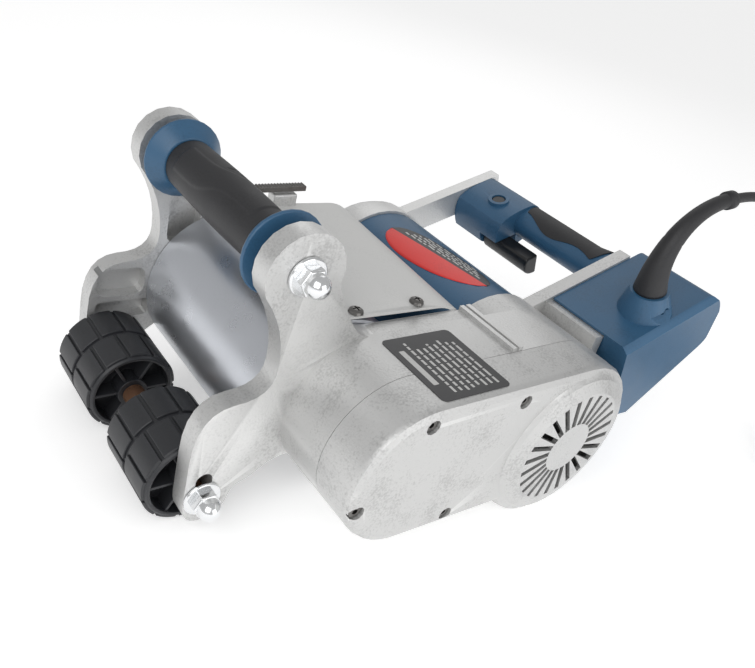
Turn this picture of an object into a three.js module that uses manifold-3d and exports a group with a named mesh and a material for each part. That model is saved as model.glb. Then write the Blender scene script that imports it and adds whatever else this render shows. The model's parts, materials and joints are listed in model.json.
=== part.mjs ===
// Hand-held wall chaser: guide wheels in front, a guarded cutter between two cast side
// plates, a belt drive in a cast case on the near side, a motor across the tool, and a
// D-handle and an electronics box behind it. Millimetres, +Z up, -X is the front and -Y
// the near (drive) side. The tool stands on its wheels and on its rear casings.
import * as THREE from 'three';
import { mergeVertices } from 'three/addons/utils/BufferGeometryUtils.js';
import Module from 'manifold-3d';

const wasm = await Module();
wasm.setup();

// ---- driving dimensions ----
const gap = 0.3; // between pieces that touch
const runGap = 0.6; // round turning pieces

const plateInner = 82; // inner face of each side plate, from the middle
const plateThickness = 15;
const gripAxis = { x: -60.3, z: 192 };
const gripRadius = 19;
const gripLength = 116;
const rodRadius = 5;
const flangeRadius = 29;

const wheelAxle = { x: -104.5, z: 33 };
const wheelRadius = 33;
const wheelWidth = 64;
const wheelGap = 2 * (plateInner - wheelWidth - 1); // the wheels stand 1 clear of the plates
const wheelRim = 5.5;
const wheelHub = 5.4;
const sleeveRadius = 8;
const slotTravel = 14;

const cutterAxis = { x: -3, z: 82.4 };
const bladeRadius = 52.5;
const bladeThickness = 2.2;
const bladeCount = 3;
const bladePitch = 14;
const cutterShaftRadius = 10;
const guardCentre = { x: -8, z: 79 };
const guardRadius = 64;
const guardWall = 2.5;

const motorAxis = { x: 149, z: 68.5 };
const motorRadius = 66.5;
const motorWall = 4;
const motorNear = 10 - plateInner;
const motorFar = plateInner - 6;
const bellFar = motorFar + 33;
const rotorRadius = 27;
const rotorShaftRadius = 6;
const statorRadius = motorRadius - 16.5;

const noseCentre = { x: 0, z: 84.4 };
const noseRadius = 54.6;
const fanCaseRadius = motorRadius + 2;
const caseBottomRear = 25.2;
const caseWall = 5;
const caseParting = -plateInner - 59; // leaves room for the belt beside the plate
const caseFace = caseParting - 36;
const fanFace = caseFace - 6;
const ventCount = 24;
const ventInner = 22;
const ventOuter = 47.8;
const ventWidth = 4.4;

const smallPulleyRadius = 17;
const largePulleyRadius = 30;
const beltThickness = 4;
const beltWidth = 16;
const beltNear = caseParting + 7;

const rearTilt = 18; // degrees that the rear frame rises
const armTop = -13.5; // rear frame, above the cutter axis line
const armHeight = 26;
const armWidth = 12;
const boxNear = caseParting - 24.5;
const boxTop = -15.5;
const boxWall = 3;
const handleCentre = { x: 287, z: -28 };
const armEnd = handleCentre.x + 16;
const handleRadius = 17;
const buttonRadius = 6.5;

const cordRadius = 4;
const coilRadius = 44;
const coilTurnsWide = 3;
const coilTurnsHigh = 3;

// ---- colours ----
function finish(color, roughness, metalness) {
  return new THREE.MeshStandardMaterial({ color, roughness, metalness });
}
const castSilver = finish(0xb9bab8, 0.5, 0.7);
const sheetSilver = finish(0xc4c6ca, 0.3, 0.8);
const coverGrey = finish(0xc9cac8, 0.5, 0.1);
const toolBlue = finish(0x2f5878, 0.45, 0.0);
const blackRubber = finish(0x26272a, 0.8, 0.0);
const blackPlastic = finish(0x1c1d20, 0.5, 0.0);
const wheelPlastic = finish(0x2b2d31, 0.6, 0.0);
const zincPlate = finish(0xd2d5d8, 0.2, 1.0);
const darkSteel = finish(0x4c4a48, 0.4, 1.0);
const brownSteel = finish(0x5a4034, 0.6, 0.7);
const bladeSteel = finish(0x9a9c9e, 0.3, 1.0);
const copper = finish(0xa8623a, 0.4, 1.0);

// ---- geometry helpers ----
const rad = THREE.MathUtils.degToRad;
const tool = new THREE.Group();
const rearFrame = new THREE.Group();
rearFrame.position.set(0, 0, noseCentre.z);
rearFrame.rotation.y = -rad(rearTilt);
tool.add(rearFrame);
const leadGroup = new THREE.Group();

function addMesh(name, shape, material, parent = tool) {
  const geometry = shape.isBufferGeometry ? shape : toGeometry(shape);
  const mesh = new THREE.Mesh(geometry, material);
  mesh.name = name;
  parent.add(mesh);
  return mesh;
}

function toSolid(geometry) {
  const bare = geometry.clone();
  bare.deleteAttribute('normal');
  bare.deleteAttribute('uv');
  const merged = mergeVertices(bare, 1e-4);
  const index = merged.index.array;
  const kept = [];
  for (let i = 0; i < index.length; i += 3) {
    const [a, b, c] = [index[i], index[i + 1], index[i + 2]];
    if (a !== b && b !== c && c !== a) kept.push(a, b, c);
  }
  const mesh = new wasm.Mesh({
    numProp: 3,
    vertProperties: Float32Array.from(merged.attributes.position.array),
    triVerts: Uint32Array.from(kept),
  });
  return new wasm.Manifold(mesh);
}

function toGeometry(solid) {
  const mesh = solid.getMesh();
  const geometry = new THREE.BufferGeometry();
  geometry.setAttribute('position', new THREE.BufferAttribute(mesh.vertProperties, 3));
  geometry.setIndex(new THREE.BufferAttribute(mesh.triVerts, 1));
  geometry.computeVertexNormals();
  return geometry;
}

function join(...shapes) {
  return shapes.map((s) => (s.isBufferGeometry ? toSolid(s) : s)).reduce((a, b) => a.add(b));
}

function cut(body, ...tools) {
  const start = body.isBufferGeometry ? toSolid(body) : body;
  return tools.map((s) => (s.isBufferGeometry ? toSolid(s) : s)).reduce((a, b) => a.subtract(b), start);
}

// A shape drawn in X and Z, pushed out along Y from y0 to y1.
function prism(shape, y0, y1, segments = 10) {
  const depth = y1 - y0;
  const geometry = new THREE.ExtrudeGeometry(shape, { depth, bevelEnabled: false, curveSegments: segments });
  geometry.rotateX(Math.PI / 2);
  geometry.translate(0, y1, 0);
  return geometry;
}

function block(x0, x1, y0, y1, z0, z1) {
  const geometry = new THREE.BoxGeometry(x1 - x0, y1 - y0, z1 - z0);
  geometry.translate((x0 + x1) / 2, (y0 + y1) / 2, (z0 + z1) / 2);
  return geometry;
}

function drum(at, radius, y0, y1, sides = 32) {
  const geometry = new THREE.CylinderGeometry(radius, radius, y1 - y0, sides);
  geometry.translate(at.x, (y0 + y1) / 2, at.z);
  return geometry;
}

// A profile of [radius, y] pairs turned about an axis along Y through a point. It is put in
// the order that makes the faces point out.
function turned(at, profile, sides = 32) {
  const points = profile.map(([r, y]) => new THREE.Vector2(r, y));
  if (THREE.ShapeUtils.area(points) < 0) points.reverse();
  const geometry = new THREE.LatheGeometry(points, sides);
  geometry.translate(at.x, 0, at.z);
  return geometry;
}

function tube(at, outer, inner, y0, y1, sides = 32) {
  return turned(at, [[inner, y0], [outer, y0], [outer, y1], [inner, y1], [inner, y0]], sides);
}

// A round post that stands along Z.
function post(at, radius, z0, z1, sides = 20) {
  const geometry = new THREE.CylinderGeometry(radius, radius, z1 - z0, sides);
  geometry.rotateX(Math.PI / 2);
  geometry.translate(at.x, at.y, (z0 + z1) / 2);
  return geometry;
}

// ---- side plates ----
function sidePlateShape(rearX, rearTop) {
  const s = new THREE.Shape();
  const lobe = 27.5;
  const front = -66;
  s.moveTo(front, 126);
  const from = rad(205);
  s.quadraticCurveTo(front, 156, gripAxis.x + lobe * Math.cos(from), gripAxis.z + lobe * Math.sin(from));
  s.absarc(gripAxis.x, gripAxis.z, lobe, from, rad(-18), true);
  s.quadraticCurveTo(-28, 168, -15, 150);
  s.quadraticCurveTo(-7, 138.6, 6, 138.4);
  s.lineTo(rearX, rearTop);
  s.lineTo(rearX, 32);
  s.quadraticCurveTo(rearX, 12, rearX - 20, 12);
  s.lineTo(-8, 12);
  s.quadraticCurveTo(-20, 12, -23, 30);
  s.bezierCurveTo(-28, 58, -52, 56, -66, 43);
  s.bezierCurveTo(-76, 34, -82, 40, -85, 28);
  s.quadraticCurveTo(-88, 12, wheelAxle.x + 2, 12);
  s.quadraticCurveTo(-117, 12, -117, 30);
  s.lineTo(-117, 64);
  s.bezierCurveTo(-117, 92, -108, 104, -92, 105);
  s.quadraticCurveTo(front, 105, front, 126);
  return s;
}

function slotCutter(y0, y1) {
  const s = new THREE.Shape();
  const r = rodRadius + 0.8;
  s.absarc(wheelAxle.x, wheelAxle.z, r, Math.PI, 2 * Math.PI, false);
  s.absarc(wheelAxle.x, wheelAxle.z + slotTravel, r, 0, Math.PI, false);
  return prism(s, y0, y1, 8);
}

function pocket(x0, x1, z0, z1, corner, y0, y1) {
  const s = new THREE.Shape();
  s.moveTo(x0 + corner, z0);
  s.lineTo(x1 - corner, z0);
  s.quadraticCurveTo(x1, z0, x1, z0 + corner);
  s.lineTo(x1, z1 - corner);
  s.quadraticCurveTo(x1, z1, x1 - corner, z1);
  s.lineTo(x0 + corner, z1);
  s.quadraticCurveTo(x0, z1, x0, z1 - corner);
  s.lineTo(x0, z0 + corner);
  s.quadraticCurveTo(x0, z0, x0 + corner, z0);
  return prism(s, y0, y1, 3);
}

const plateOuter = plateInner + plateThickness;

// ---- drive case outline: a nose disc and a fan disc with straight sides ----
function caseShape(inset) {
  const s = new THREE.Shape();
  const nose = noseRadius - inset;
  const fan = fanCaseRadius - inset;
  s.moveTo(noseCentre.x, noseCentre.z + nose);
  s.absarc(noseCentre.x, noseCentre.z, nose, Math.PI / 2, 1.5 * Math.PI, false);
  const meeting = Math.PI + Math.asin((motorAxis.z - caseBottomRear - inset) / fan);
  s.lineTo(motorAxis.x + fan * Math.cos(meeting), caseBottomRear + inset);
  s.absarc(motorAxis.x, motorAxis.z, fan, meeting, 2.5 * Math.PI, false);
  s.lineTo(noseCentre.x, noseCentre.z + nose);
  return s;
}

const bearing = { outer: 17, inner: cutterShaftRadius + gap, width: 9 };
const motorBearing = { outer: 13, inner: rotorShaftRadius + gap, width: 8 };
const cutterBearingNear = -plateOuter - 1;
const farBearingY = plateOuter - 1 - bearing.width;
const caseFloor = -plateOuter - 4.6;

function screwHole(at, radius, y0, y1) {
  return drum(at, radius, y0, y1, 10);
}
const coverScrews = [
  { name: 'cover_screw_top_front', x: -4.3, z: 126.6 },
  { name: 'cover_screw_nose', x: -46.2, z: 71 },
  { name: 'cover_screw_top_rear', x: 80, z: 124.5 },
  { name: 'cover_screw_bottom', x: 40, z: 36.6 },
];
const screwShank = 2.5;
const screwBoss = 7.5;

function rearRibBlock(extra) {
  const low = 92 - extra;
  return block(196 - extra, 206 + extra, caseParting - extra, motorNear - gap + extra, low, 132 + extra);
}

{
  // Near side plate and drive case housing, one casting with the near rear arm.
  const bulge = fanCaseRadius;
  const armFrom = 150;
  const plate = prism(sidePlateShape(92, 137), -plateOuter, -plateInner, 6);
  const shell = prism(caseShape(0), caseParting, -plateOuter + 2, 10);
  const collar = drum(motorAxis, bulge, caseParting, motorNear - gap, 40);
  const ribs = [96, 102.5].map((x) => block(x, x + 4, caseParting, -plateInner - 1, 120, 140.6));
  const rearRib = rearRibBlock(0);
  const armNear = -plateInner - 4;
  const arm = block(armFrom, armEnd, armNear, armNear + armWidth, armTop - armHeight, armTop);
  arm.rotateY(-rad(rearTilt));
  arm.translate(0, 0, noseCentre.z);
  let body = join(plate, shell, collar, ...ribs, rearRib, arm);
  const cavity = prism(caseShape(caseWall), caseParting - 1, caseFloor, 8);
  const motorSpigot = drum(motorAxis, bulge - caseWall, -94, motorNear + 20, 28);
  body = cut(body, cavity, motorSpigot);
  const bossNose = coverScrews.map((p) => drum(p, screwBoss, caseParting, -plateOuter - 1, 10));
  const insideCase = toSolid(prism(caseShape(1), caseParting, -plateOuter + 1, 8));
  const seat = drum(cutterAxis, bearing.outer + 4, cutterBearingNear - bearing.width - 1, -plateOuter, 28);
  body = join(body, ...bossNose.map((g) => toSolid(g).intersect(insideCase)), seat);
  body = cut(
    body,
    drum(cutterAxis, bearing.outer + gap, -200, cutterBearingNear, 28),
    drum(cutterAxis, cutterShaftRadius + 1.5, -200, 0, 28),
    drum(motorAxis, motorBearing.outer + gap, -94 - motorBearing.width - 1, -90, 28),
    drum(motorAxis, rotorShaftRadius + 1.5, -200, -90, 24),
    drum(gripAxis, rodRadius + gap, -120, -60, 20),
    slotCutter(-120, -60),
    ...coverScrews.map((p) => screwHole(p, screwShank + gap, caseParting - 2, caseParting + 16)),
  );
  addMesh('gearbox_housing', body, castSilver);
}

{
  // Far side plate: a rimmed casting, hollow on the side that faces the cutter.
  const y0 = plateInner;
  const y1 = plateOuter;
  const plate = prism(sidePlateShape(76, 124), y0, y1, 6);
  const pockets = [
    pocket(-111, -74, 76, 99, 8, y0 - 1, y1 - 5),
    pocket(-111, -70, 56, 71, 4, y0 - 1, y1 - 5),
    pocket(-60, -34, 118, 158, 8, y0 - 1, y1 - 5),
  ];
  const body = cut(
    plate,
    ...pockets,
    drum(cutterAxis, bearing.outer + gap, y0 - 1, farBearingY + bearing.width + gap, 28),
    drum(gripAxis, rodRadius + gap, 60, 120, 20),
    slotCutter(60, 120),
  );
  addMesh('far_side_plate', body, castSilver);
}

// ---- drive case cover with the fan grille ----
{
  const bevel = 6;
  const outline = new THREE.ExtrudeGeometry(caseShape(bevel), {
    depth: 60,
    bevelEnabled: true,
    bevelThickness: bevel,
    bevelSize: bevel,
    bevelSegments: 2,
    curveSegments: 10,
  });
  outline.rotateX(Math.PI / 2);
  outline.translate(0, caseFace + bevel + 60, 0);
  const trim = block(-100, 300, caseFace - 20, caseParting - gap, -20, 200);
  const face = toSolid(outline).intersect(toSolid(trim));
  const dome = turned(motorAxis, [
    [0, fanFace], [50, fanFace], [60, fanFace + 3], [65.5, fanFace + 9], [fanCaseRadius, fanFace + 18],
    [fanCaseRadius, caseParting - gap], [0, caseParting - gap],
  ], 40);
  const cavity = prism(caseShape(caseWall), caseFace + caseWall, caseParting + 5, 8);
  const fanRoom = turned(motorAxis, [
    [0, fanFace + 3.5], [49, fanFace + 3.5], [58, fanFace + 8], [fanCaseRadius - caseWall, fanFace + 20],
    [fanCaseRadius - caseWall, caseParting + 5], [0, caseParting + 5],
  ], 28);
  const bosses = coverScrews.map((p) => drum(p, screwBoss, caseFace + 2, caseParting - gap, 10));
  const keep = toSolid(prism(caseShape(1), caseFace + 1, caseParting - gap, 8));
  const vents = [];
  for (let i = 0; i < ventCount; i++) {
    const slot = new THREE.BoxGeometry(ventOuter - ventInner, 12, ventWidth);
    slot.translate((ventOuter + ventInner) / 2, fanFace + 1, 0);
    slot.rotateY(rad((360 / ventCount) * i));
    slot.translate(motorAxis.x, 0, motorAxis.z);
    vents.push(slot);
  }
  let body = cut(join(face, dome), cavity, fanRoom);
  body = join(body, ...bosses.map((g) => toSolid(g).intersect(keep)));
  body = cut(
    body,
    fanRoom,
    ...vents,
    ...coverScrews.map((p) => screwHole(p, screwShank + gap, caseFace - 2, caseParting + 2)),
    ...coverScrews.map((p) => screwHole(p, 5.5, caseFace - 2, caseFace + 7)),
  );
  addMesh('gearbox_cover', body, castSilver);
}

for (const p of coverScrews) {
  const head = caseFace + 7 - gap;
  const screw = join(
    drum(p, 4.8, head - 4.5, head, 12),
    drum(p, screwShank, head - 1, caseParting + 14, 8),
  );
  addMesh(p.name, cut(screw, drum(p, 2.2, head - 6, head - 2, 6)), darkSteel);
}

// ---- guard, top cover and their screws ----
{
  const open = 42; // half of the open arc at the bottom, in degrees
  const s = new THREE.Shape();
  const start = rad(-90 + open);
  const end = rad(270 - open);
  const inner = guardRadius - guardWall;
  s.absarc(guardCentre.x, guardCentre.z, guardRadius, start, end, false);
  s.absarc(guardCentre.x, guardCentre.z, inner, end, start, true);
  addMesh('blade_guard', prism(s, -plateInner + gap, plateInner - gap, 20), sheetSilver);
}

const coverTop = guardCentre.z + guardRadius + 2.4;
const coverScrewSpots = [{ x: 2, y: -77 }, { x: 56, y: -77 }];
{
  const thick = 2;
  const low = motorAxis.z + motorRadius + gap;
  const s = new THREE.Shape();
  s.moveTo(guardCentre.x + 2, coverTop);
  s.lineTo(96, coverTop);
  s.quadraticCurveTo(108, coverTop, 118, low + 3);
  s.lineTo(118, low);
  s.quadraticCurveTo(106, coverTop - thick, 96, coverTop - thick);
  s.lineTo(guardCentre.x + 2, coverTop - thick);
  const sheet = prism(s, -plateInner + gap, 88, 6);
  const holes = coverScrewSpots.map((p) => post(p, 2.3, 120, 170, 12));
  addMesh('top_cover', cut(sheet, ...holes), coverGrey);
  const names = ['top_cover_screw_front', 'top_cover_screw_rear'];
  coverScrewSpots.forEach((p, i) => {
    const capped = new THREE.LatheGeometry([[0, 0], [5.6, 0], [5, 1.8], [3, 3], [0, 3.3]]
      .map(([r, y]) => new THREE.Vector2(r, y)), 12);
    capped.rotateX(Math.PI / 2);
    capped.translate(p.x, p.y, coverTop + gap);
    const shank = post(p, 2, coverTop - 1.6, coverTop + 1, 8);
    const cross = [block(-3, 3, -0.6, 0.6, 0, 3), block(-0.6, 0.6, -3, 3, 0, 3)];
    cross.forEach((g) => g.translate(p.x, p.y, coverTop + 2.2));
    addMesh(names[i], cut(join(capped, shank), ...cross), darkSteel);
  });
}

// ---- motor ----
{
  const bore = motorRadius - motorWall;
  addMesh('motor_housing', tube(motorAxis, motorRadius, bore, motorNear, motorFar - gap, 40), toolBlue);
  const bellRadius = fanCaseRadius;
  const bell = turned(motorAxis, [
    [0, bellFar], [0, bellFar - 5], [bellRadius - 6, bellFar - 5], [bellRadius - 6, motorFar],
    [bellRadius, motorFar], [bellRadius, bellFar - 12], [bellRadius - 4, bellFar - 4],
    [bellRadius - 14, bellFar], [0, bellFar],
  ], 40);
  const arm = block(160, armEnd, plateInner + 3, plateInner + 3 + armWidth, armTop - armHeight, armTop);
  arm.rotateY(-rad(rearTilt));
  arm.translate(0, 0, noseCentre.z);
  const seat = drum(motorAxis, motorBearing.outer + 4, bellFar - 5 - motorBearing.width, bellFar - 3, 24);
  const inside = drum(motorAxis, bellRadius - 6, motorFar - 10, bellFar - 5, 28);
  let body = join(cut(join(bell, arm), inside), seat);
  body = cut(body, drum(motorAxis, motorBearing.outer + gap, 60, bellFar - 5, 28));
  addMesh('motor_end_bell', body, castSilver);
}

// ---- rotor, its fan, its pulley and bearings ----
const rotorNear = -172;
{
  const far = bellFar - 6;
  addMesh('rotor_shaft', drum(motorAxis, rotorShaftRadius, rotorNear, far, 20), darkSteel);
  const onShaft = rotorShaftRadius + gap;
  addMesh('armature', tube(motorAxis, rotorRadius, onShaft, -45, 40, 24), darkSteel);
  addMesh('commutator', tube(motorAxis, 15, onShaft, 46, 70, 24), copper);
  addMesh('field_stator', tube(motorAxis, statorRadius, rotorRadius + 2, -48, 42, 32), darkSteel);
  const beltFar = beltNear + beltWidth;
  addMesh('drive_pulley', tube(motorAxis, smallPulleyRadius, onShaft, beltNear, beltFar, 32), darkSteel);
  const fanDisc = tube(motorAxis, 44, onShaft, -158, -155, 24);
  const hub = tube(motorAxis, 14, onShaft, -168, -155, 16);
  const blades = [];
  for (let i = 0; i < 9; i++) {
    const blade = block(12, 43, -167, -156, -1, 1);
    blade.rotateY(rad(40 * i));
    blade.translate(motorAxis.x, 0, motorAxis.z);
    blades.push(blade);
  }
  addMesh('cooling_fan', join(fanDisc, hub, ...blades), blackPlastic);
  const b = motorBearing;
  addMesh('rotor_bearing_near', tube(motorAxis, b.outer, b.inner, -94 - b.width, -94, 18), zincPlate);
  const farBearing = tube(motorAxis, b.outer, b.inner, bellFar - 5.3 - b.width, bellFar - 5.3, 18);
  addMesh('rotor_bearing_far', farBearing, zincPlate);
  for (const [name, side] of [['brush_front', -1], ['brush_rear', 1]]) {
    const reach = [15 + runGap, motorRadius - motorWall - gap - 1];
    const x0 = side > 0 ? reach[0] : -reach[1];
    const brush = block(x0, x0 + reach[1] - reach[0], 53, 63, -4, 4);
    brush.translate(motorAxis.x, 0, motorAxis.z);
    addMesh(name, brush, darkSteel);
  }
}

// ---- belt ----
{
  const dx = motorAxis.x - cutterAxis.x;
  const dz = motorAxis.z - cutterAxis.z;
  const span = Math.hypot(dx, dz);
  const lean = Math.atan2(dz, dx);
  const wrap = Math.asin((largePulleyRadius - smallPulleyRadius) / span);
  const loop = (extra, Kind) => {
    const s = new Kind();
    const big = largePulleyRadius + extra;
    const small = smallPulleyRadius + extra;
    const up = lean + Math.PI / 2 - wrap;
    const down = lean - Math.PI / 2 + wrap;
    s.absarc(cutterAxis.x, cutterAxis.z, big, up, down + 2 * Math.PI, false);
    s.absarc(motorAxis.x, motorAxis.z, small, down, up, false);
    return s;
  };
  const belt = loop(runGap + beltThickness, THREE.Shape);
  belt.holes.push(loop(runGap, THREE.Path));
  addMesh('drive_belt', prism(belt, beltNear + 1, beltNear + beltWidth - 1, 12), blackRubber);
}

// ---- cutter ----
{
  const c = cutterAxis;
  const near = beltNear - 6;
  const farBearingEnd = farBearingY + bearing.width;
  addMesh('cutter_shaft', drum(c, cutterShaftRadius, near, farBearingEnd - 0.5, 28), darkSteel);
  const onShaft = cutterShaftRadius + gap;
  const pulley = tube(c, largePulleyRadius, onShaft, beltNear, beltNear + beltWidth, 40);
  addMesh('driven_pulley', pulley, darkSteel);
  const nearY = cutterBearingNear - bearing.width;
  const nearRace = tube(c, bearing.outer, bearing.inner, nearY, cutterBearingNear - gap, 18);
  addMesh('cutter_bearing_near', nearRace, zincPlate);
  const farRace = tube(c, bearing.outer, bearing.inner, farBearingY, farBearingEnd, 18);
  addMesh('cutter_bearing_far', farRace, zincPlate);
  const first = -((bladeCount - 1) / 2) * bladePitch;
  for (let i = 0; i < bladeCount; i++) {
    const y = first + i * bladePitch;
    addMesh(`diamond_blade_${i + 1}`, tube(c, bladeRadius, onShaft, y, y + bladeThickness, 32), bladeSteel);
    if (i < bladeCount - 1) {
      const ring = tube(c, 20, onShaft, y + bladeThickness + gap, y + bladePitch - gap, 18);
      addMesh(`blade_spacer_${i + 1}`, ring, darkSteel);
    }
  }
  const last = first + (bladeCount - 1) * bladePitch + bladeThickness + gap;
  addMesh('blade_flange_near', tube(c, 22, onShaft, first - gap - 10, first - gap, 24), darkSteel);
  const nut = cut(drum(c, 18, last, last + 12, 6), drum(c, onShaft, last - 1, last + 13, 28));
  addMesh('blade_nut', nut, darkSteel);
}

// ---- front grip ----
function acornNut(at, side) {
  const y = side * (plateOuter + gap);
  const sign = side;
  const profile = [
    [rodRadius + gap, 0], [13, 0], [13, 2.4], [9.2, 3], [9.2, 9], [8.2, 11],
    [7.6, 14.5], [5.4, 18], [0, 19.6],
    [0, 15], [rodRadius + gap, 15], [rodRadius + gap, 0],
  ];
  const points = profile.map(([r, h]) => [r, y + sign * h]);
  return turned(at, points, 12);
}
{
  const rodEnd = plateOuter + 14;
  addMesh('grip_rod', drum(gripAxis, rodRadius, -rodEnd, rodEnd, 20), zincPlate);
  const h = gripLength / 2;
  const bore = rodRadius + gap;
  addMesh('front_grip', turned(gripAxis, [
    [bore, -h], [gripRadius - 0.6, -h], [gripRadius + 0.4, -h * 0.6], [gripRadius + 1, 0],
    [gripRadius + 0.4, h * 0.6], [gripRadius - 0.6, h], [bore, h], [bore, -h],
  ], 32), blackRubber);
  for (const [name, side] of [['grip_flange_near', -1], ['grip_flange_far', 1]]) {
    const out = plateInner - gap;
    const profile = [
      [bore, h + gap], [gripRadius + 0.5, h + gap], [gripRadius + 4, h + 4], [flangeRadius - 2, h + 9],
      [flangeRadius, h + 11.5], [flangeRadius - 0.5, h + 13.5], [14, h + 14.5], [14, out],
      [bore, out], [bore, h + gap],
    ].map(([r, y]) => [r, side * y]);
    addMesh(name, turned(gripAxis, profile, 28), toolBlue);
    addMesh(name.replace('flange', 'nut'), acornNut(gripAxis, side), zincPlate);
  }
}

// ---- guide wheels on their sliding axle ----
{
  const rodEnd = plateOuter + 14;
  addMesh('wheel_axle', drum(wheelAxle, rodRadius, -rodEnd, rodEnd, 20), brownSteel);
  addMesh('axle_nut_near', acornNut(wheelAxle, -1), zincPlate);
  addMesh('axle_nut_far', acornNut(wheelAxle, 1), zincPlate);
  const half = wheelGap / 2;
  const onAxle = rodRadius + runGap;
  const spacer = tube(wheelAxle, sleeveRadius, rodRadius + gap, -half + gap, half - gap, 18);
  addMesh('axle_sleeve', spacer, brownSteel);
  for (const [name, side] of [['guide_wheel_near', -1], ['guide_wheel_far', 1]]) {
    const y0 = side > 0 ? half + gap : -half - gap - wheelWidth;
    const y1 = y0 + wheelWidth;
    const r = wheelRadius;
    const hollow = 15;
    const rim = r - wheelRim;
    const hub = onAxle + wheelHub;
    addMesh(name, turned(wheelAxle, [
      [onAxle, y0], [hub, y0], [hub, y0 + hollow], [rim, y0 + hollow], [rim, y0], [r - 2.4, y0], [r, y0 + 6],
      [r, y1 - 6], [r - 2.4, y1], [rim, y1], [rim, y1 - hollow], [hub, y1 - hollow], [hub, y1], [onAxle, y1],
      [onAxle, y0],
    ], 28), wheelPlastic);
  }
}

// ---- electronics box and strain relief ----
const bossSpot = { x: 259.5, y: -139 };
{
  const s = new THREE.Shape();
  s.moveTo(210, boxTop);
  s.lineTo(314, boxTop);
  s.quadraticCurveTo(325, boxTop, 330, -36);
  s.lineTo(324, -62);
  s.quadraticCurveTo(322, -66, 314, -69);
  s.lineTo(232, -99);
  s.lineTo(210, -90);
  const y0 = boxNear;
  const y1 = -plateInner - 4 - gap;
  const outer = prism(s, y0, y1, 6);
  const top = new THREE.CylinderGeometry(15.5, 22, 20, 28);
  top.rotateX(Math.PI / 2);
  top.translate(bossSpot.x, bossSpot.y, boxTop + 9.9);
  const caseRoom = drum({ x: 0, z: 0 }, fanCaseRadius + 3.2, -200, 0, 56);
  const drop = motorAxis.z - noseCentre.z;
  const axisX = motorAxis.x * Math.cos(rad(rearTilt)) + drop * Math.sin(rad(rearTilt));
  const axisZ = -motorAxis.x * Math.sin(rad(rearTilt)) + drop * Math.cos(rad(rearTilt));
  caseRoom.translate(axisX, 0, axisZ);
  const ribRoom = rearRibBlock(2 * gap);
  ribRoom.translate(0, 0, -noseCentre.z);
  ribRoom.rotateY(rad(rearTilt));
  const inner = block(226, 300, y0 + boxWall, y1 + 5, -56, boxTop - boxWall);
  const bore = new THREE.CylinderGeometry(9.5, 9.5, 60, 24);
  bore.rotateX(Math.PI / 2);
  bore.translate(bossSpot.x, bossSpot.y, boxTop + 10);
  const chamfer = block(200, 345, -10, 10, -10, 10);
  chamfer.rotateX(rad(45));
  chamfer.translate(0, y0 - 3, boxTop + 6);
  const pinhole = new THREE.CylinderGeometry(3.6, 3.6, 30, 14);
  pinhole.translate(bossSpot.x + 1, bossSpot.y - 20, boxTop + 8);
  const body = cut(join(outer, top), caseRoom, ribRoom, inner, bore, chamfer, pinhole);
  addMesh('controller_box', body, toolBlue, rearFrame);
  const board = block(232, 290, y0 + 12, y1 - 8, -50, -44);
  addMesh('speed_controller', board, copper, rearFrame);
}

// The strain relief rises square to the box and bends towards the rear.
const reliefFoot = new THREE.Vector3(bossSpot.x, bossSpot.y, boxTop + 20 + gap);
reliefFoot.applyAxisAngle(new THREE.Vector3(0, 1, 0), -rad(rearTilt));
reliefFoot.z += noseCentre.z;
const reliefTip = new THREE.Vector3(305, bossSpot.y, 244);
const reliefPath = new THREE.CubicBezierCurve3(
  reliefFoot,
  new THREE.Vector3(reliefFoot.x - 15, bossSpot.y, reliefFoot.z + 42),
  new THREE.Vector3(reliefFoot.x + 10, bossSpot.y, reliefTip.z - 3),
  reliefTip,
);
{
  const length = reliefPath.getLength();
  const root = 7.6;
  const steps = 14;
  const profile = [[0, 0], [14.5, 0]];
  for (let i = 1; i <= steps; i++) {
    const t = i / steps;
    profile.push([root + 6.9 * (1 - t) ** 1.6, (length - 9) * t]);
  }
  profile.push([9.4, length - 8], [9.4, length - 1], [8.4, length], [0, length]);
  const geometry = new THREE.LatheGeometry(profile.map(([r, y]) => new THREE.Vector2(r, y)), 14);
  const at = geometry.attributes.position;
  for (let i = 0; i < at.count; i++) {
    const t = at.getY(i) / length;
    const centre = reliefPath.getPointAt(t);
    const along = reliefPath.getTangentAt(t);
    const side = new THREE.Vector3(along.z, 0, -along.x);
    const place = centre.addScaledVector(side, at.getX(i));
    at.setXYZ(i, place.x, place.y - at.getZ(i), place.z);
  }
  addMesh('strain_relief', cut(geometry), blackRubber);
}

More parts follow.
